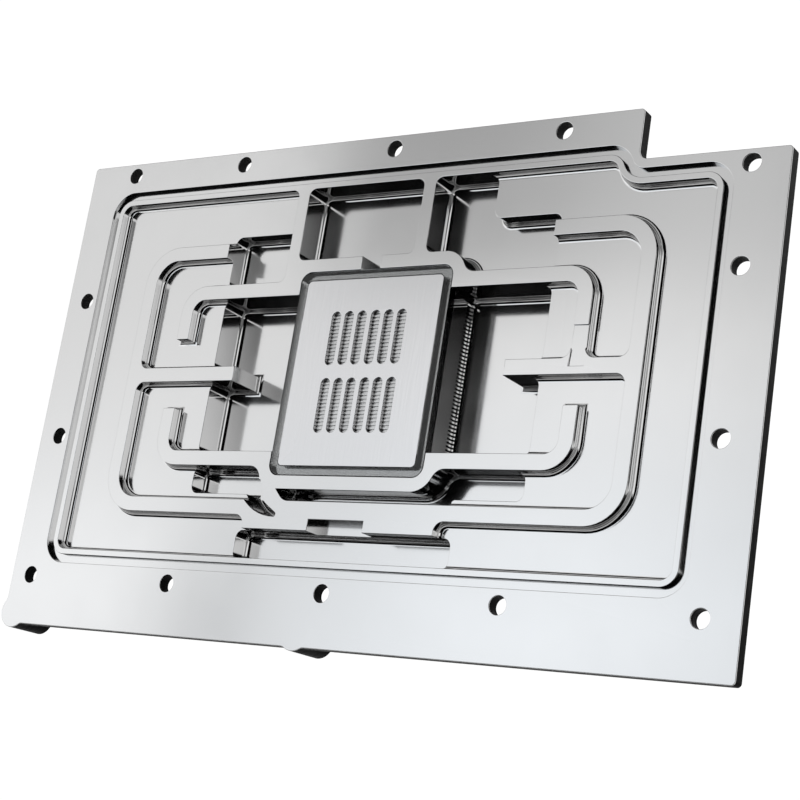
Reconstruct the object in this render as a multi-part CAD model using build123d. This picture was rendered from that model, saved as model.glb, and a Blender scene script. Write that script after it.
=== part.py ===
from build123d import *
from math import acos, atan2, cos, hypot, sin, tan
import os

# Liquid cooling cold plate: one milled block of plated copper, with a jet block, a clear plate
# and a thin jet plate over its micro fins. Millimetres, water side up. The origin is the centre
# of the die contact face, X along the plate's long side. Sizes named _x, _left or _right are
# measured from that centre; along Y each level is a step from the one before it.

# Heights, all measured down from the sealing face or up from the contact face
centre_pocket_depth = 11.3
centre_floor = 1.4
die_pad_height = 0.6
top = centre_pocket_depth + centre_floor + die_pad_height
flange_thickness = 3.4
chamber_depth = 2.8
chamber_floor = 1.8
deep_pocket_depth = 8.2
deep_floor = 1.8

# Outline of the flange
edge_left = -107.0
edge_right = 109.0
edge_top_margin = 12.8
edge_bottom_margin = 21.3
notch_x = 70.8
notch_margin = 6.3
edge_radius = 1.0
notch_radius = 2.2

# Main chamber, milled inside the seal
chamber_left = -92.5
chamber_right = 91.7
chamber_above_frame = 20.15
chamber_notch_step = 6.5
chamber_bend_x = 62.9
chamber_bend_radius = 7.5
chamber_radius = 2.9
floor_fillet = 1.2

# Seal groove, a constant land outside the chamber
seal_land = 1.6
groove_width = 2.3
groove_depth = 1.5

# Ribs, as high as the sealing face
rib = 4.0
outer_rib_x = 78.5
upper_channel = 7.9
frame_channel = 2.95
outer_rib_radius = 10.5
inner_rib_top_step = 5.75
inner_rib_bottom_step = 5.85
middle_rib_y = 0.1
left_rib_end = -41.0
right_rib_end = 42.0
left_hook_x = 63.2
right_hook_x = 63.3
hook_radius = 7.5
upper_hook_end = 10.1
lower_hook_end = -9.3
low_rib_drop = 0.4

# Recess for the jet insert, and the frame around it
recess_width = 47.0
recess_length = 54.5
recess_radius = 3.0
frame_wall = 3.6
frame_outer_radius = 6.5
frame_blend_radius = 3.6

# Deep pockets
pocket_x = 50.5
pocket_radius = 2.0
deep_fillet = 1.2
channel_fillet = 0.9
curve_fillet = 0.5
upper_pocket_reach = 2.7
lower_pocket_step = 2.0
web_left = -29.4
web_pitch = 40.0
web = 3.6
right_pocket_x = 31.1
right_step_radius = 2.3
channel_step_radius = 0.98
land_x = 29.0
land_step_radius = 2.6
middle_radius = 2.5
bottom_pocket_x = 32.6
bottom_pocket_width = 7.6
land_wall = 3.5

# Curved pocket at the lower left, which leaves a curved rib beside the frame
curve_top_x = -26.1
curve_top_radius = 3.5
curve_waist_x = -23.4
curve_waist_drop = 0.4
curve_waist_radius = 4.0
curve_tip_x = -17.4
curve_tip_drop = 4.2
curve_tip_radius = 0.6
curve_low_x = -27.1
curve_start_x = -31.5
curve_split_x = -27.5
channel_top_x = -20.1
channel_low_x = -17.4
channel_radius = 4.0

# Centre pockets and micro fins
centre_fillet = 1.3
fin_height = 2.8
fin_pitch = 0.98
fin_gap = 0.52
fin_root = 0.2

# Notches beside the frame
top_notch_x = -5.0
top_notch_width = 6.0
top_notch_depth = 4.4
land_slot_x = -8.3
land_slot_width = 16.8
land_slot_reach = 2.9
land_slot_depth = 4.6

# Screw holes for the cover
screw_hole = 4.5
hole_pitch = 50.0
hole_column_x = -0.5
hole_row_edge = 3.6
hole_row_below_chamber = 7.8
hole_left_x = -100.0
hole_top_left_x = -90.5
hole_right_x = 99.5
hole_notch_edge = 3.4
hole_side_y = (22.6, -17.2)

# Bosses on the underside
ear_radius = 4.5
ear_length = 11.2
ear_blend = 2.0
corner_ear_x = -103.8
corner_ear_edge = 3.2
side_ear_x = -6.8
side_ear_edge = 3.5
ear_thread = 2.5
thread_depth = 5.0
standoff_reach = 2.4
standoff_radius = 3.0
standoff_thread = 2.05
die_standoff_x = 37.0
die_standoff_y = 37.0
outer_standoff_x = 84.0
outer_standoff_upper_y = 34.0
outer_standoff_lower_y = -42.0

# Underside blocks
block_margin = 2.1
chamber_pad_margin = 1.2
die_pad_x = 44.0
die_pad_y = 44.0
block_radius = 2.0

# Jet block, clear plate and jet plate, stacked in the recess
insert_clearance = 0.1
clear_plate_thickness = 2.6
jet_plate_thickness = 0.9
jet_plate_border = 2.5
jet_plate_radius = 1.3
jet_plate_clearance = 0.05
jet_slit_width = 1.3
stage_margin = 1.0
stage_clearance = 0.1
stage_groove_depth = 0.3
slot_width = 2.7
slot_length = 14.2
slot_pitch = 4.0
slots_per_group = 3
group_pitch_x = 12.2
group_pitch_y = 17.8

level_chamber = top - chamber_depth
level_deep = top - deep_pocket_depth
level_centre = top - centre_pocket_depth
level_fin_top = level_centre + fin_height
level_block_top = top - clear_plate_thickness

frame_top = recess_length / 2 + frame_wall
inner_rib_top = frame_top - inner_rib_top_step
inner_top = inner_rib_top - rib
outer_rib_top = inner_rib_top + upper_channel + rib
upper_pocket_top = outer_rib_top + upper_pocket_reach
chamber_top = frame_top + chamber_above_frame
chamber_notch_y = chamber_top - chamber_notch_step
notch_y = chamber_notch_y + notch_margin
edge_top = chamber_top + edge_top_margin
hole_row_top = edge_top - hole_row_edge
hole_right_top_y = notch_y - hole_notch_edge

frame_bottom = -recess_length / 2 - frame_wall
inner_rib_bottom = frame_bottom + inner_rib_bottom_step
inner_low = inner_rib_bottom + rib
outer_rib_bottom = frame_bottom - frame_channel
lower_pocket_bottom = outer_rib_bottom + lower_pocket_step
curve_waist_y = outer_rib_bottom - curve_waist_drop
curve_tip_y = outer_rib_bottom - curve_tip_drop
bottom_pocket_top = outer_rib_bottom - rib - land_wall
chamber_bottom = bottom_pocket_top - bottom_pocket_width
edge_bottom = chamber_bottom - edge_bottom_margin
hole_row_bottom = chamber_bottom - hole_row_below_chamber
corner_ear = (corner_ear_x, edge_bottom + corner_ear_edge)
side_ear = (side_ear_x, edge_bottom + side_ear_edge)


def outline(corners):
    """A face whose corners (x, y, radius) are rounded by true arcs."""
    edges = []
    last = None
    first = None
    count = len(corners)
    for i in range(count):
        x, y, r = corners[i]
        px, py, _ = corners[i - 1]
        nx, ny, _ = corners[(i + 1) % count]
        into = Vector(x - px, y - py).normalized()
        out = Vector(nx - x, ny - y).normalized()
        corner = Vector(x, y)
        turn = acos(max(-1, min(1, into.dot(out))))
        reach = r * tan(turn / 2)
        start = corner - into * reach
        end = corner + out * reach
        if last is not None and (start - last).length > 1e-4:
            edges.append(Line(last, start))
        if last is not None:
            start = start if (start - last).length > 1e-4 else last
        if r > 0:
            inward = (out - into).normalized()
            middle = corner + inward * (r / cos(turn / 2) - r)
            edges.append(ThreePointArc(start, middle, end))
        if first is None:
            first = start
        last = end
    if (first - last).length > 1e-4:
        edges.append(Line(last, first))
    return make_face(Wire(edges))


def bend(x, y_from, y_to, r_first, r_second, way):
    """The two corners of a smooth S from height y_from to y_to, starting at x."""
    turn = acos(1 - abs(y_to - y_from) / (r_first + r_second))
    x_end = x + way * (r_first + r_second) * sin(turn)
    half = tan(turn / 2)
    return [(x + way * r_first * half, y_from, r_first), (x_end - way * r_second * half, y_to, r_second)]


def prism(face, low, high):
    """The face as a solid between two heights."""
    return extrude(Pos(0, 0, low) * face, high - low)


def pocket(face, floor, radius):
    """A milled pocket: straight walls from above the face, and a rounded foot."""
    tool = prism(face, floor, top + 1)
    foot = tool.edges().filter_by_position(Axis.Z, floor - 0.01, floor + 0.01)
    return fillet(foot, radius)


def rectangle(x0, x1, y0, y1, r=0.0):
    return outline([(x0, y0, r), (x1, y0, r), (x1, y1, r), (x0, y1, r)])


def chamber_outline(grow):
    """The main chamber's outline, grown outwards by a margin."""
    r = chamber_radius + grow
    r_in = chamber_bend_radius - grow
    notch = bend(chamber_bend_x, chamber_top + grow, chamber_notch_y + grow, r, r_in, 1)
    return outline(
        [(chamber_left - grow, chamber_bottom - grow, r)]
        + [(chamber_right + grow, chamber_bottom - grow, r)]
        + [(chamber_right + grow, chamber_notch_y + grow, r)]
        + notch[::-1]
        + [(chamber_left - grow, chamber_top + grow, r)]
    )


def flange():
    """The flange with its notch and the two ears that show past its edge."""
    plate = outline(
        [(edge_left, edge_bottom, edge_radius)]
        + [(edge_right, edge_bottom, edge_radius)]
        + [(edge_right, notch_y, edge_radius)]
        + [(notch_x, notch_y, notch_radius)]
        + [(notch_x, edge_top, edge_radius)]
        + [(edge_left, edge_top, edge_radius)]
    )
    for x, y in (corner_ear, side_ear):
        plate += Pos(x, y) * Circle(ear_radius)
    plate = fillet([point for point in plate.vertices() if on_ear(point)], ear_blend)
    body = prism(plate, top - flange_thickness, top)
    for x, y in (corner_ear, side_ear):
        body += Pos(x, y, top - ear_length) * boss(ear_radius, ear_length)
    return body


def on_ear(point):
    """True for a corner where an ear's round meets the edge of the plate."""
    return any(abs(hypot(point.X - x, point.Y - y) - ear_radius) < 0.01 for x, y in (corner_ear, side_ear))


def boss(radius, height):
    return Cylinder(radius, height, align=(Align.CENTER, Align.CENTER, Align.MIN))


def underside():
    """The pads under the chambers and the contact block under the fins."""
    edge = pocket_x + block_margin
    body = prism(chamber_outline(chamber_pad_margin), level_chamber - chamber_floor, top - flange_thickness)
    rows = rectangle(-edge, edge, chamber_bottom - block_margin, chamber_top + block_margin, block_radius)
    body += prism(rows, level_deep - deep_floor, top - flange_thickness)
    middle = rectangle(-edge, edge, inner_low - block_margin, inner_top + block_margin, block_radius)
    body += prism(middle, level_centre - centre_floor, level_deep)
    pad = rectangle(-die_pad_x / 2, die_pad_x / 2, -die_pad_y / 2, die_pad_y / 2, block_radius)
    body += prism(pad, 0, level_centre - centre_floor / 2)
    return body


def standoff_places():
    places = []
    for side in (-1, 1):
        for height in (-die_standoff_y, die_standoff_y):
            places.append((side * die_standoff_x, height))
        for height in (outer_standoff_lower_y, outer_standoff_upper_y):
            places.append((side * outer_standoff_x, height))
    return places


def hole_places():
    """Centres of the cover's screw holes: top row, bottom row, then the two sides."""
    columns = [hole_column_x + hole_pitch * step for step in (-1, 0, 1)]
    places = [(x, hole_row_top) for x in columns] + [(x, hole_row_bottom) for x in columns]
    places += [(hole_top_left_x, hole_row_top), (hole_right_x, hole_right_top_y)]
    for x in (hole_left_x, hole_right_x):
        places += [(x, y) for y in hole_side_y] + [(x, hole_row_bottom)]
    return places


def outer_rib(side, middle_end):
    """Half of the outer ring: a C with half of the lower land and its middle rib."""
    far = side * outer_rib_x
    near = side * (outer_rib_x - rib)
    step = side * land_x
    stop = side * pocket_x
    low = outer_rib_bottom - rib
    inner_r = outer_rib_radius - rib
    middle_top = middle_rib_y + rib / 2
    middle_low = middle_rib_y - rib / 2
    return outline(
        [(0, bottom_pocket_top, 0), (step, bottom_pocket_top, 0), (step, low, land_step_radius)]
        + [(far, low, outer_rib_radius), (far, outer_rib_top, outer_rib_radius)]
        + [(stop, outer_rib_top, 0), (stop, outer_rib_top - rib, 0)]
        + [(near, outer_rib_top - rib, inner_r), (near, middle_top, middle_radius)]
        + [(middle_end, middle_top, 0), (middle_end, middle_low, 0), (near, middle_low, middle_radius)]
        + [(near, outer_rib_bottom, inner_r), (0, outer_rib_bottom, 0)]
    )


def hook(side, x_far, y_bar, y_end):
    """An inner bar with its leg turned back towards the middle rib."""
    way = 1 if y_end > y_bar else -1
    far = side * x_far
    near = side * (x_far - rib)
    inner_r = hook_radius - rib
    inside = y_bar + way * rib
    return outline(
        [(0, y_bar, 0), (far, y_bar, hook_radius), (far, y_end, 0)]
        + [(near, y_end, 0), (near, inside, inner_r), (0, inside, 0)]
    )


def frame():
    """The frame around the recess, blended into the inner bars, with its two webs."""
    start = recess_width / 2 - recess_radius
    upper = bend(start, frame_top, inner_rib_top, frame_outer_radius, frame_blend_radius, 1)
    lower = bend(start, frame_bottom, inner_rib_bottom, frame_outer_radius, frame_blend_radius, 1)
    points = [(web_left, inner_top, 0), (web_left, frame_top, 0)] + upper
    points += [(pocket_x, inner_rib_top, 0), (pocket_x, inner_top, 0)]
    face = outline(points)
    points = [(-pocket_x, inner_low, 0), (pocket_x, inner_low, 0), (pocket_x, inner_rib_bottom, 0)]
    points += lower[::-1] + [(0, frame_bottom, 0), (0, outer_rib_bottom, 0)]
    points += [(curve_split_x, outer_rib_bottom, 0), (curve_start_x, inner_rib_bottom, 0)]
    points += [(-pocket_x, inner_rib_bottom, 0)]
    face += outline(points)
    for x in (web_left, web_left + web_pitch):
        face += rectangle(x, x + web, frame_top - 1, chamber_top)
    return face


def at_web_corner(point):
    """True for a corner where a web meets the frame, an inner bar or the chamber's edge."""
    sides = [x + add for x in (web_left, web_left + web_pitch) for add in (0, web)]
    ends = (chamber_top, frame_top, inner_rib_top)
    by_side = any(abs(point.X - x) < 0.01 for x in sides)
    return by_side and any(abs(point.Y - y) < 0.01 for y in ends)


def at_low_rib(point):
    """True for a corner where the low rib meets the right middle rib."""
    side = min(abs(point.X - x) for x in (right_hook_x - rib, right_hook_x))
    return side < 0.01 and abs(point.Y - middle_rib_y - rib / 2) < 0.01


def lower_left_pocket():
    """The deep pocket at the lower left, between the inner bar and the outer ring."""
    return outline(
        [(-pocket_x, inner_rib_bottom, pocket_radius), (-pocket_x, lower_pocket_bottom, pocket_radius)]
        + [(curve_top_x, lower_pocket_bottom, pocket_radius)]
        + [(curve_top_x, inner_rib_bottom, curve_top_radius)]
    )


def curved_pocket():
    """The tail of the lower left pocket, which sweeps under the frame's corner."""
    across = curve_low_x - curve_start_x
    down = lower_pocket_bottom - curve_tip_y
    sweep = hypot(across, down) / tan(atan2(down, across) / 2)
    shoulder = inner_rib_bottom - curve_top_radius
    return outline(
        [(curve_start_x, shoulder, 0), (curve_start_x, lower_pocket_bottom, 0)]
        + [(curve_low_x, curve_tip_y, sweep), (curve_tip_x, curve_tip_y, curve_tip_radius)]
        + [(curve_waist_x, curve_waist_y, curve_waist_radius), (curve_top_x + 0.5, shoulder, 0)]
    )


def lower_right_pocket():
    """The deep channel under the frame and the pocket it leads to at the right."""
    start = recess_width / 2 - recess_radius
    lower = bend(start, frame_bottom, inner_rib_bottom, frame_outer_radius, frame_blend_radius, 1)
    return outline(
        [(channel_top_x, frame_bottom, 0)] + lower
        + [(pocket_x, inner_rib_bottom, pocket_radius), (pocket_x, lower_pocket_bottom, pocket_radius)]
        + [(right_pocket_x, lower_pocket_bottom, channel_step_radius)]
        + [(right_pocket_x, outer_rib_bottom, channel_step_radius), (channel_low_x, outer_rib_bottom, channel_radius)]
    )


def upper_right_pocket():
    """The deep pocket right of the second web, with its step to the right."""
    start = recess_width / 2 - recess_radius
    upper = bend(start, frame_top, inner_rib_top, frame_outer_radius, frame_blend_radius, 1)
    left = web_left + web_pitch + web
    return outline(
        [(left, frame_top, pocket_radius)] + upper
        + [(pocket_x, inner_rib_top, pocket_radius), (pocket_x, upper_pocket_top, pocket_radius)]
        + [(right_pocket_x, upper_pocket_top, right_step_radius)]
        + [(right_pocket_x, chamber_top, pocket_radius), (left, chamber_top, pocket_radius)]
    )


def deep_pockets():
    """The deep pockets around the frame, each with the radius of its foot."""
    low = inner_rib_top
    bottom = (-bottom_pocket_x, bottom_pocket_x, chamber_bottom, bottom_pocket_top)
    return [
        (rectangle(-pocket_x, web_left, low, upper_pocket_top, pocket_radius), deep_fillet),
        (rectangle(web_left + web, web_left + web_pitch, frame_top, chamber_top, pocket_radius), deep_fillet),
        (upper_right_pocket(), deep_fillet),
        (lower_left_pocket(), deep_fillet),
        (lower_right_pocket(), channel_fillet),
        (rectangle(*bottom, pocket_radius), deep_fillet),
        (curved_pocket(), curve_fillet),
    ]


def centre_pocket(side, middle_end):
    """A pocket beside the fins, with the end of the middle rib standing in it."""
    far = side * pocket_x
    near = side * recess_width / 2
    r = pocket_radius
    middle_top = middle_rib_y + rib / 2
    middle_low = middle_rib_y - rib / 2
    return outline(
        [(near, inner_top, r), (far, inner_top, r), (far, middle_top, r), (middle_end, middle_top, 0)]
        + [(middle_end, middle_low, 0), (far, middle_low, r), (far, inner_low, r), (near, inner_low, r)]
    )


def fin_slots():
    """The slots between the micro fins, cut through the raised block into both pockets."""
    width = inner_top - inner_low
    count = int((width - fin_gap) / fin_pitch)
    reach = recess_width / 2 + centre_fillet
    middle = (inner_top + inner_low) / 2
    slots = []
    for i in range(count):
        y = middle + (i - (count - 1) / 2) * fin_pitch
        slot = rectangle(-reach, reach, y - fin_gap / 2, y + fin_gap / 2)
        slots.append(prism(slot, level_centre + fin_root, level_fin_top + 0.5))
    return slots


def recess():
    """The recess for the jet insert, open to the centre pockets at both sides."""
    half = recess_width / 2
    seat = rectangle(-half, half, -recess_length / 2, recess_length / 2, recess_radius)
    open_sides = rectangle(-half - pocket_radius, half + pocket_radius, inner_low, inner_top)
    return prism(seat, level_fin_top, top + 1) + prism(open_sides, level_fin_top, top + 1)


def notches():
    """The notch through the frame's upper bar and the slot in the lower land."""
    x = top_notch_x
    notch = rectangle(x, x + top_notch_width, recess_length / 2 - 0.5, frame_top + 0.5)
    x = land_slot_x
    low = bottom_pocket_top - 0.5
    slot = rectangle(x, x + land_slot_width, low, bottom_pocket_top + land_slot_reach)
    return prism(notch, top - top_notch_depth, top + 1) + prism(slot, top - land_slot_depth, top + 1)


def cold_plate():
    """The whole milled base."""
    body = flange() + underside()
    for x, y in standoff_places():
        body += Pos(x, y, -standoff_reach) * boss(standoff_radius, standoff_reach + level_chamber - chamber_floor / 2)
    walls = outer_rib(-1, left_rib_end) + outer_rib(1, right_rib_end) + frame()
    walls += hook(-1, left_hook_x, inner_rib_top, upper_hook_end)
    walls += hook(-1, left_hook_x, inner_rib_bottom, lower_hook_end)
    walls += hook(1, right_hook_x, inner_rib_top, upper_hook_end)
    walls += hook(1, right_hook_x, inner_rib_bottom, lower_hook_end)
    low_rib = rectangle(right_hook_x - rib, right_hook_x, middle_rib_y, upper_hook_end)
    water = chamber_outline(0) - walls - low_rib
    water = fillet([point for point in water.vertices() if at_web_corner(point)], pocket_radius)
    water = fillet([point for point in water.vertices() if at_low_rib(point)], middle_radius)
    body -= pocket(water, level_chamber, floor_fillet)
    body -= prism(low_rib, top - low_rib_drop, top + 1)
    for face, foot in deep_pockets():
        body -= pocket(face, level_deep, foot)
    body -= pocket(centre_pocket(-1, left_rib_end), level_centre, centre_fillet)
    body -= pocket(centre_pocket(1, right_rib_end), level_centre, centre_fillet)
    body -= recess()
    body -= notches()
    body -= fin_slots()
    groove = chamber_outline(seal_land + groove_width) - chamber_outline(seal_land)
    body -= prism(groove, top - groove_depth, top + 1)
    for x, y in hole_places():
        body -= Pos(x, y, top - flange_thickness - 1) * boss(screw_hole / 2, flange_thickness + 2)
    for x, y in standoff_places():
        body -= Pos(x, y, -standoff_reach - 1) * boss(standoff_thread / 2, thread_depth + 1)
    for x, y in (corner_ear, side_ear):
        body -= Pos(x, y, top - ear_length - 1) * boss(ear_thread / 2, thread_depth + 1)
    return body


def jet_plate_outline(grow):
    """The jet plate's outline, grown by a clearance."""
    x = recess_width / 2 - jet_plate_border + grow
    y = recess_length / 2 - jet_plate_border + grow
    return rectangle(-x, x, -y, y, jet_plate_radius + grow)


def jet_plate():
    """The thin plate with four groups of slots."""
    face = jet_plate_outline(0)
    for group_x in (-group_pitch_x / 2, group_pitch_x / 2):
        for group_y in (-group_pitch_y / 2, group_pitch_y / 2):
            for i in range(slots_per_group):
                x = group_x + (i - (slots_per_group - 1) / 2) * slot_pitch
                face -= Pos(x, group_y) * SlotOverall(slot_length, slot_width, rotation=90)
    return prism(face, top - jet_plate_thickness, top)


def stacked_block(low, high):
    """A block that fills the recess between two heights, with the insert's clearance."""
    x = recess_width / 2 - insert_clearance
    y = recess_length / 2 - insert_clearance
    return prism(rectangle(-x, x, -y, y, recess_radius - insert_clearance), low, high)


def stage_outline(grow):
    """The raised stage under the jet plate's slots, grown by a clearance."""
    x = group_pitch_x / 2 + (slots_per_group - 1) / 2 * slot_pitch + slot_width / 2 + stage_margin + grow
    y = (group_pitch_y + slot_length) / 2 + stage_margin + grow
    return rectangle(-x, x, -y, y, jet_plate_radius + grow)


def stage_grooves():
    """The grooves that lead the water along the stage to its slit."""
    reach = recess_width / 2
    depth = prism(stage_outline(0), top - jet_plate_thickness - stage_groove_depth, top)
    count = int((group_pitch_y + slot_length) / fin_pitch)
    grooves = []
    for i in range(count):
        y = (i - (count - 1) / 2) * fin_pitch
        groove = rectangle(-reach, reach, y - fin_gap / 2, y + fin_gap / 2)
        grooves.append(prism(groove, top - jet_plate_thickness - stage_groove_depth, top))
    return [groove & depth for groove in grooves]


def jet_block():
    """The metal block on the fins: a grooved stage, and a slit down to the fins."""
    body = stacked_block(level_fin_top, level_block_top)
    body += prism(stage_outline(0), level_block_top, top - jet_plate_thickness)
    body -= stage_grooves()
    slit = SlotOverall(group_pitch_y + slot_length, jet_slit_width, rotation=90)
    return body - prism(slit, level_fin_top - 1, top)


def clear_plate():
    """The clear plate around the stage, with the jet plate's seat."""
    body = stacked_block(level_block_top, top)
    body -= prism(jet_plate_outline(jet_plate_clearance), top - jet_plate_thickness, top + 1)
    return body - prism(stage_outline(stage_clearance), level_block_top - 1, top)


os.makedirs("parts", exist_ok=True)
nodes = {
    "cold_plate": cold_plate(),
    "jet_block": jet_block(),
    "clear_plate": clear_plate(),
    "jet_plate": jet_plate(),
}
for name, shape in nodes.items():
    export_step(shape, "parts/" + name + ".step")
    print(name, len(shape.solids()), round(shape.volume, 1), shape.is_valid)
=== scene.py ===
import math

import bmesh
import bpy
from mathutils import Matrix, Vector


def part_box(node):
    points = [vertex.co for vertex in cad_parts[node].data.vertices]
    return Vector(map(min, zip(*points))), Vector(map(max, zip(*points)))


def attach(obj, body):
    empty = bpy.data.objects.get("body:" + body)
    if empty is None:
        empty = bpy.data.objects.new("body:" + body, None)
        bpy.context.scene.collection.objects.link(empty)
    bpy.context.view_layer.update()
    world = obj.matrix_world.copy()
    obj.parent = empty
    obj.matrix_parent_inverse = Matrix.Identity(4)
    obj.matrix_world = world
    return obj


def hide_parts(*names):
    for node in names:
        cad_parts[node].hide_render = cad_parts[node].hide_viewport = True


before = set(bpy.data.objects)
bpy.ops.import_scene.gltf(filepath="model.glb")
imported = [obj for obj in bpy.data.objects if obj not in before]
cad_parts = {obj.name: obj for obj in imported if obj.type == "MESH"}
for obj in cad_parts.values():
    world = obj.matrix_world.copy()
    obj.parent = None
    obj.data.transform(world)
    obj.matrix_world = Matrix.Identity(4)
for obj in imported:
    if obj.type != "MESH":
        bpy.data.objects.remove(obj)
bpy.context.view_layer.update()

# Liquid cooling cold plate, bright nickel over milled copper, water side up. Metres.
MM = 0.001
SEAL_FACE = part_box("cold_plate")[1].z
REST_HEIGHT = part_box("cold_plate")[0].z
FLANGE_FOOT = SEAL_FACE - 3.4 * MM
LEDGE = SEAL_FACE - 2.6 * MM
STUDIO_HEIGHT = SEAL_FACE + 1.2

# The broken edges of milling
EDGE_BREAK = 0.16 * MM

# The two ears that show past the flange's edge
EAR_RADIUS = 4.5 * MM
EAR_PLACES = (Vector((-103.8, -67.0)) * MM, Vector((-6.8, -66.7)) * MM)

# Dim and bright patches of the softbox's cloth: centre, half widths and change of level
SOFTBOX_SPOTS = (
    (-1.063, 0.09, 0.066, 0.13, -0.47),
    (-0.92, 0.18, 0.134, 0.22, -0.19),
    (-0.50, 0.373, 0.60, 0.09, 0.12),
)

# The camera that sees the plate as the photograph does
CAMERA_PLACE = Vector((259.2, -111.8, 357.9)) * MM
CAMERA_RIGHT = Vector((0.8260, 0.1531, -0.5423))
CAMERA_UP = Vector((0.0084, 0.9589, 0.2835))
CAMERA_LENS = 80.0
CAMERA_SENSOR = 36.0


def new_material(name):
    """An empty node material and its surface output."""
    material = bpy.data.materials.new(name)
    material.use_nodes = True
    tree = material.node_tree
    tree.nodes.clear()
    output = tree.nodes.new("ShaderNodeOutputMaterial")
    return material, tree, output


def add(tree, kind, **settings):
    """A node of that kind with its settings."""
    node = tree.nodes.new(kind)
    for key, value in settings.items():
        setattr(node, key, value)
    return node


def principled(name, colour, metallic, roughness, **sockets):
    """A plain principled finish, wired to its output."""
    material, tree, output = new_material(name)
    shader = add(tree, "ShaderNodeBsdfPrincipled")
    shader.inputs["Base Color"].default_value = (*colour, 1.0)
    shader.inputs["Metallic"].default_value = metallic
    shader.inputs["Roughness"].default_value = roughness
    for key, value in sockets.items():
        shader.inputs[key.replace("_", " ")].default_value = value
    tree.links.new(shader.outputs["BSDF"], output.inputs["Surface"])
    return material, tree, shader


def object_place(tree, scale):
    """Object coordinates, stretched by a scale for each axis."""
    place = add(tree, "ShaderNodeTexCoord")
    stretch = add(tree, "ShaderNodeMapping")
    stretch.inputs["Scale"].default_value = scale
    tree.links.new(place.outputs["Object"], stretch.inputs["Vector"])
    return stretch.outputs["Vector"]


def haze(tree, shader, scale, detail, low, high):
    """Roughness that drifts between two values over the surface."""
    noise = add(tree, "ShaderNodeTexNoise")
    noise.inputs["Scale"].default_value = 1.0
    noise.inputs["Detail"].default_value = detail
    tree.links.new(object_place(tree, scale), noise.inputs["Vector"])
    spread = add(tree, "ShaderNodeMapRange")
    spread.inputs["From Min"].default_value = 0.3
    spread.inputs["From Max"].default_value = 0.7
    spread.inputs["To Min"].default_value = low
    spread.inputs["To Max"].default_value = high
    tree.links.new(noise.outputs["Fac"], spread.inputs["Value"])
    tree.links.new(spread.outputs["Result"], shader.inputs["Roughness"])


def grey_colour(tree, level):
    """A grey whose three channels take one level."""
    grey = add(tree, "ShaderNodeCombineColor")
    for socket in grey.inputs[:3]:
        tree.links.new(level, socket)
    return grey.outputs[0]


def nickel_plate():
    """Bright nickel: faces softened by the haze of polishing, cut walls sharper, walls facing ±Y darkened with
    painted shade.
    """
    material, tree, shader = principled("bright_nickel", (0.80, 0.80, 0.80), 1.0, 0.16)
    haze(tree, shader, (60.0, 60.0, 60.0), 3.0, 0.11, 0.15)
    surface = add(tree, "ShaderNodeNewGeometry")
    split = add(tree, "ShaderNodeSeparateXYZ")
    tree.links.new(surface.outputs["Normal"], split.inputs[0])
    level = smooth_step(tree, split.outputs["Z"], 0.97, 0.999, 0.5, 1.0)
    clouded = shader.inputs["Roughness"].links[0].from_socket
    tree.links.new(math_node(tree, "MULTIPLY", clouded, level), shader.inputs["Roughness"])
    # Painted shade: walls facing ±Y get a base colour of 0.38 against 0.80 on the faces.
    painted_shade_facing = math_node(tree, "ABSOLUTE", split.outputs["Y"])
    painted_shade_facing = math_node(tree, "SUBTRACT", painted_shade_facing, math_node(tree, "ABSOLUTE", split.outputs["Z"]))
    tree.links.new(grey_colour(tree, smooth_step(tree, painted_shade_facing, 0.25, 0.75, 0.80, 0.38)), shader.inputs["Base Color"])
    return material


def painted_shade_edge():
    """Painted shade on the flange's cut edge, bores and ears: near black in place of nickel, a little paler towards
    the notched side.
    """
    material, tree, shader = principled("dark_painted_shade_edge", (0.01, 0.01, 0.01), 0.0, 0.55)
    shader.inputs["Specular IOR Level"].default_value = 0.03
    split = add(tree, "ShaderNodeSeparateXYZ")
    tree.links.new(object_place(tree, (1.0, 1.0, 1.0)), split.inputs[0])
    grains = add(tree, "ShaderNodeTexNoise")
    grains.inputs["Scale"].default_value = 1.0
    tree.links.new(object_place(tree, (300.0, 300.0, 1500.0)), grains.inputs["Vector"])
    # Painted shade level: near black, a little paler towards +Y, mottled by the grain.
    painted_shade_rise = smooth_step(tree, split.outputs["Y"], -0.05, 0.06, 0.003, 0.045)
    level = math_node(tree, "MULTIPLY", painted_shade_rise, math_node(tree, "ADD", grains.outputs["Fac"], 0.5))
    tree.links.new(grey_colour(tree, level), shader.inputs["Base Color"])
    haze(tree, shader, (300.0, 300.0, 1500.0), 2.0, 0.45, 0.65)
    return material


def clear_acrylic():
    """The polished clear plate."""
    material, tree, shader = principled("clear_acrylic", (0.97, 0.98, 0.98), 0.0, 0.02, IOR=1.49)
    shader.inputs["Transmission Weight"].default_value = 1.0
    haze(tree, shader, (150.0, 150.0, 150.0), 2.0, 0.01, 0.04)
    return material


def milled_grey(name, level, smooth, rough):
    """The block's milled faces under the insert's plates, with the fine grain of the cutter; on the ledge the dark
    grey level is painted shade.
    """
    material, tree, shader = principled(name, (level, level, level), 1.0, rough)
    haze(tree, shader, (900.0, 120.0, 120.0), 2.0, smooth, rough)
    return material


def jet_sheet():
    """The bright sheet of the jet plate, with the faint grain of its rolling."""
    material, tree, shader = principled("jet_sheet", (0.80, 0.80, 0.81), 1.0, 0.17)
    haze(tree, shader, (2600.0, 70.0, 70.0), 2.0, 0.15, 0.20)
    return material


def merged_mesh(node):
    """A copy of a CAD node's mesh with its triangles joined and its flat faces made whole."""
    mesh = bmesh.new()
    mesh.from_mesh(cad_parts[node].data)
    bmesh.ops.remove_doubles(mesh, verts=mesh.verts, dist=0.001 * MM)
    bmesh.ops.dissolve_limit(mesh, angle_limit=math.radians(0.05), verts=mesh.verts, edges=mesh.edges)
    return mesh


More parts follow.
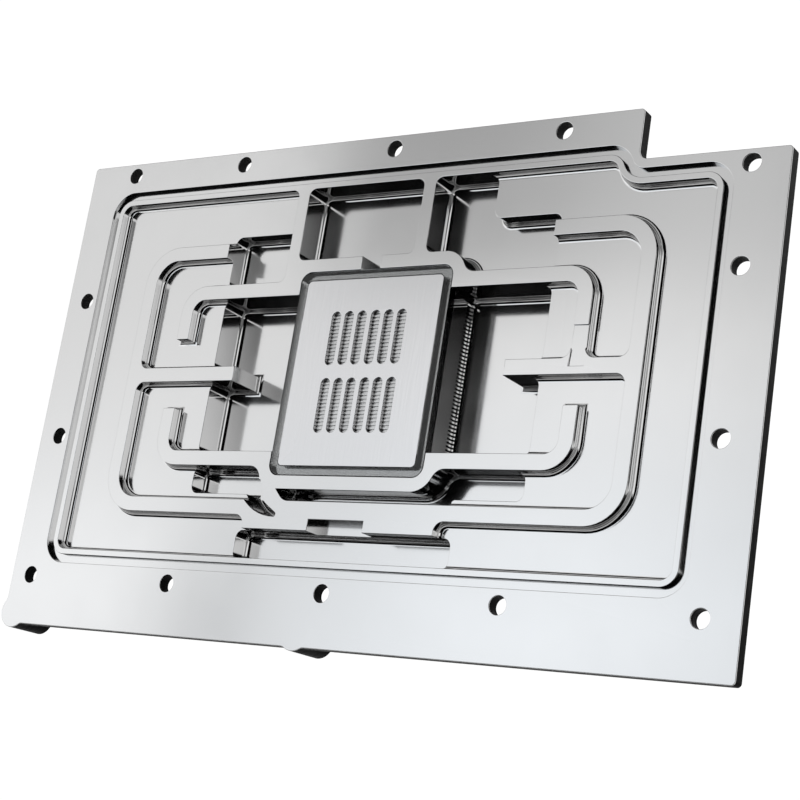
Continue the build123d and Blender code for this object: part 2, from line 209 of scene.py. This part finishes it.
def break_edges(mesh, lowest):
    """Bevels the square outer edges above a height."""
    edges = []
    for edge in mesh.edges:
        if min(vertex.co.z for vertex in edge.verts) < lowest or len(edge.link_faces) != 2:
            continue
        if edge.is_convex and edge.calc_face_angle(0.0) > math.radians(60):
            edges.append(edge)
    bmesh.ops.bevel(mesh, geom=edges, offset=EDGE_BREAK, segments=2, profile=0.5, affect="EDGES",
                    clamp_overlap=False, material=-1)


def finished_piece(mesh, name, node, materials):
    """Turns a worked mesh into the smooth piece that stands for a CAD node."""
    for edge in mesh.edges:
        edge.smooth = len(edge.link_faces) == 2 and edge.calc_face_angle(0.0) < math.radians(35)
    for face in mesh.faces:
        face.smooth = True
    data = bpy.data.meshes.new(name)
    mesh.to_mesh(data)
    mesh.free()
    for material in materials:
        data.materials.append(material)
    piece = bpy.data.objects.new(name, data)
    bpy.context.scene.collection.objects.link(piece)
    even = piece.modifiers.new("even_normals", "WEIGHTED_NORMAL")
    even.mode = "FACE_AREA"
    even.weight = 100
    even.keep_sharp = True
    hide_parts(node)
    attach(piece, "root")
    return piece


def is_through_wall(face):
    """True for the walls that run from the flange's back to its face: its rim and its bores."""
    heights = [vertex.co.z for vertex in face.verts]
    return abs(min(heights) - FLANGE_FOOT) < 0.02 * MM and max(heights) > SEAL_FACE - 2 * EDGE_BREAK


def is_on_ear(face):
    """True for the round wall of an ear."""
    middle = face.calc_center_median().xy
    return any(abs((middle - place).length - EAR_RADIUS) < 0.1 * MM for place in EAR_PLACES)


def cold_plate_piece():
    """The plate, with its edges broken and the flange's rim, bores and ears given a dark painted shade."""
    mesh = merged_mesh("cold_plate")
    break_edges(mesh, SEAL_FACE - 2.9 * MM)
    # The rim, bores and ears take the painted shade material instead of nickel.
    for face in mesh.faces:
        if abs(face.normal.z) < 0.1 and (is_through_wall(face) or is_on_ear(face)):
            face.material_index = 1
    return finished_piece(mesh, "plate_body", "cold_plate", [nickel_plate(), painted_shade_edge()])


def jet_block_piece():
    """The plated block under the clear plate, its ledge darkened with painted shade and its stage left as milled."""
    mesh = merged_mesh("jet_block")
    for face in mesh.faces:
        height = face.calc_center_median().z
        if face.normal.z > 0.9 and abs(height - LEDGE) < 0.05 * MM:
            face.material_index = 1
        elif height > LEDGE + 0.1 * MM:
            face.material_index = 2
    # The ledge's dark grey of 0.36 is painted shade seen through the clear plate.
    ledge = milled_grey("ledge_painted_shade", 0.36, 0.18, 0.26)
    stage = milled_grey("milled_stage", 0.74, 0.28, 0.38)
    return finished_piece(mesh, "block_body", "jet_block",
                          [bpy.data.materials["bright_nickel"], ledge, stage])


def clear_plate_piece():
    """The clear plate, a hair smaller than its room so that no two faces coincide."""
    mesh = merged_mesh("clear_plate")
    break_edges(mesh, SEAL_FACE - 0.1 * MM)
    middle = SEAL_FACE - 1.3 * MM
    for vertex in mesh.verts:
        vertex.co.z = middle + (vertex.co.z - middle) * 0.992
    return finished_piece(mesh, "clear_body", "clear_plate", [clear_acrylic()])


def jet_plate_piece():
    """The slotted sheet, with the edges of its slots broken."""
    mesh = merged_mesh("jet_plate")
    break_edges(mesh, SEAL_FACE - 0.1 * MM)
    return finished_piece(mesh, "sheet_body", "jet_plate", [jet_sheet()])


def flat_panel(name, x0, x1, y0, y1, height, material):
    """A studio panel that lies level over the plate and faces down."""
    corners = [(x0, y0, height), (x0, y1, height), (x1, y1, height), (x1, y0, height)]
    mesh = bpy.data.meshes.new(name)
    mesh.from_pydata(corners, [], [(0, 1, 2, 3)])
    mesh.materials.append(material)
    panel = bpy.data.objects.new(name, mesh)
    bpy.context.scene.collection.objects.link(panel)
    return panel


def math_node(tree, operation, first, second=None, third=None, clamp=False):
    """A Math node whose inputs are links or numbers."""
    node = add(tree, "ShaderNodeMath", operation=operation, use_clamp=clamp)
    for socket, value in zip(node.inputs, (first, second, third)):
        if value is None:
            continue
        if isinstance(value, (int, float)):
            socket.default_value = value
        else:
            tree.links.new(value, socket)
    return node.outputs[0]


def soft_spot(tree, x, y, centre_x, centre_y, width, length):
    """One at a spot's centre, falling smoothly to nothing around it."""
    across = math_node(tree, "DIVIDE", math_node(tree, "SUBTRACT", x, centre_x), width)
    along = math_node(tree, "DIVIDE", math_node(tree, "SUBTRACT", y, centre_y), length)
    square = math_node(tree, "ADD", math_node(tree, "MULTIPLY", across, across),
                       math_node(tree, "MULTIPLY", along, along))
    return math_node(tree, "POWER", math.e, math_node(tree, "MULTIPLY", square, -1.0))


def cloth_place(tree):
    """Where on the panel a point lies, as X and Y."""
    place = add(tree, "ShaderNodeTexCoord")
    split = add(tree, "ShaderNodeSeparateXYZ")
    tree.links.new(place.outputs["Object"], split.inputs[0])
    return split.outputs["X"], split.outputs["Y"]


def glowing(tree, output, level, colour=None):
    """A plain glow of that level, in that colour."""
    glow = add(tree, "ShaderNodeEmission")
    if colour is not None:
        tree.links.new(colour, glow.inputs["Color"])
    tree.links.new(level, glow.inputs["Strength"])
    tree.links.new(glow.outputs[0], output.inputs["Surface"])


def smooth_step(tree, value, low, high, start, end):
    """A smooth change from start to end between two places."""
    step = add(tree, "ShaderNodeMapRange", interpolation_type="SMOOTHSTEP")
    tree.links.new(value, step.inputs["Value"])
    step.inputs["From Min"].default_value = low
    step.inputs["From Max"].default_value = high
    step.inputs["To Min"].default_value = start
    step.inputs["To Max"].default_value = end
    return step.outputs["Result"]


def softbox_cloth():
    """The softbox's cloth: brightest near its lower edge, with two dim folds."""
    material, tree, output = new_material("softbox_cloth")
    x, y = cloth_place(tree)
    level = math_node(tree, "MULTIPLY_ADD", soft_spot(tree, x, y, -1.0, 0.11, 30.0, 0.20), 0.28, 0.83)
    across = math_node(tree, "MULTIPLY", smooth_step(tree, x, -1.02, -0.95, 0.0, 0.39),
                       smooth_step(tree, x, -0.80, -0.42, 1.0, 0.25))
    fold = math_node(tree, "MULTIPLY", across, smooth_step(tree, y, 0.42, 0.57, 0.0, 1.0))
    level = math_node(tree, "SUBTRACT", level, fold)
    for centre_x, centre_y, width, length, change in SOFTBOX_SPOTS:
        spot = soft_spot(tree, x, y, centre_x, centre_y, width, length)
        level = math_node(tree, "MULTIPLY_ADD", spot, change, level)
    level = math_node(tree, "SUBTRACT", level, smooth_step(tree, x, -0.60, -0.35, 0.0, 0.13))
    cool = math_node(tree, "MULTIPLY", smooth_step(tree, y, 0.15, 0.45, 1.0, 0.0),
                     smooth_step(tree, x, -1.20, -0.80, 0.3, 1.0))
    tint = add(tree, "ShaderNodeMix", data_type="RGBA")
    tree.links.new(cool, tint.inputs["Factor"])
    tint.inputs[6].default_value = (1.0, 1.0, 1.0, 1.0)
    tint.inputs[7].default_value = (0.965, 1.0, 1.035, 1.0)
    glowing(tree, output, level, tint.outputs[2])
    return material


def black_card():
    """The cloth of the studio's black cards."""
    return principled("black_card", (0.004, 0.004, 0.004), 0.0, 1.0, Specular_IOR_Level=0.0)[0]


def side_cloth():
    """The far softbox, whose near edge slants away from the plate towards the back."""
    material, tree, output = new_material("side_cloth")
    x, y = cloth_place(tree)
    slant = math_node(tree, "MULTIPLY_ADD", y, -0.55, x)
    glowing(tree, output, smooth_step(tree, slant, 0.63, 0.92, 0.0, 0.90))
    return material


def floor_paper():
    """Pale floor paper that the camera and the metal see as white, with the plate's shadow."""
    material, tree, output = new_material("floor_paper")
    paper = add(tree, "ShaderNodeBsdfDiffuse")
    paper.inputs["Color"].default_value = (0.80, 0.80, 0.80, 1.0)
    dimmed = add(tree, "ShaderNodeBsdfDiffuse")
    dimmed.inputs["Color"].default_value = (0.30, 0.30, 0.30, 1.0)
    glow = add(tree, "ShaderNodeEmission")
    glow.inputs["Strength"].default_value = 0.95
    both = add(tree, "ShaderNodeAddShader")
    tree.links.new(dimmed.outputs[0], both.inputs[0])
    tree.links.new(glow.outputs[0], both.inputs[1])
    path = add(tree, "ShaderNodeLightPath")
    seen = math_node(tree, "MAXIMUM", path.outputs["Is Camera Ray"], path.outputs["Is Glossy Ray"])
    seen = math_node(tree, "MAXIMUM", seen, path.outputs["Is Transmission Ray"])
    mix = add(tree, "ShaderNodeMixShader")
    tree.links.new(seen, mix.inputs["Fac"])
    tree.links.new(paper.outputs[0], mix.inputs[1])
    tree.links.new(both.outputs[0], mix.inputs[2])
    tree.links.new(mix.outputs[0], output.inputs["Surface"])
    return material


def studio_world():
    """An even pale studio around the plate."""
    world = bpy.data.worlds.new("studio")
    world.use_nodes = True
    tree = world.node_tree
    shader = tree.nodes["Background"]
    shader.inputs["Color"].default_value = (1.0, 1.0, 1.0, 1.0)
    shader.inputs["Strength"].default_value = 0.45
    bpy.context.scene.world = world


def studio():
    """Floor, softboxes, black cards and the world."""
    studio_world()
    flat_panel("floor", -6.0, 6.0, -6.0, 6.0, REST_HEIGHT, floor_paper())
    flat_panel("softbox", -2.2, -0.25, -0.27, 0.80, STUDIO_HEIGHT, softbox_cloth())
    flat_panel("side_softbox", 0.50, 3.2, -0.10, 1.30, STUDIO_HEIGHT, side_cloth())
    flat_panel("front_card", -2.2, -0.25, -1.8, -0.27, STUDIO_HEIGHT, black_card())
    flat_panel("front_middle_card", -0.25, 1.8, -1.8, -0.10, STUDIO_HEIGHT, black_card())
    flat_panel("middle_card", -0.25, 0.50, -0.10, 1.30, STUDIO_HEIGHT, black_card())
    flat_panel("back_card", -2.2, -0.25, 0.80, 1.8, STUDIO_HEIGHT, black_card())
    flat_panel("back_middle_card", -0.25, 3.2, 1.30, 1.8, STUDIO_HEIGHT, black_card())


def camera():
    """The photograph's viewing angle."""
    data = bpy.data.cameras.new("camera")
    data.lens = CAMERA_LENS
    data.sensor_width = CAMERA_SENSOR
    data.clip_start = 0.01
    data.clip_end = 50.0
    right = CAMERA_RIGHT.normalized()
    back = right.cross(CAMERA_UP).normalized()
    up = back.cross(right)
    turn = Matrix((right, up, back)).transposed().to_4x4()
    viewer = bpy.data.objects.new("camera", data)
    viewer.matrix_world = Matrix.Translation(CAMERA_PLACE) @ turn
    bpy.context.scene.collection.objects.link(viewer)
    bpy.context.scene.camera = viewer


cold_plate_piece()
jet_block_piece()
clear_plate_piece()
jet_plate_piece()
studio()
camera()
bpy.context.scene.view_settings.view_transform = "Standard"
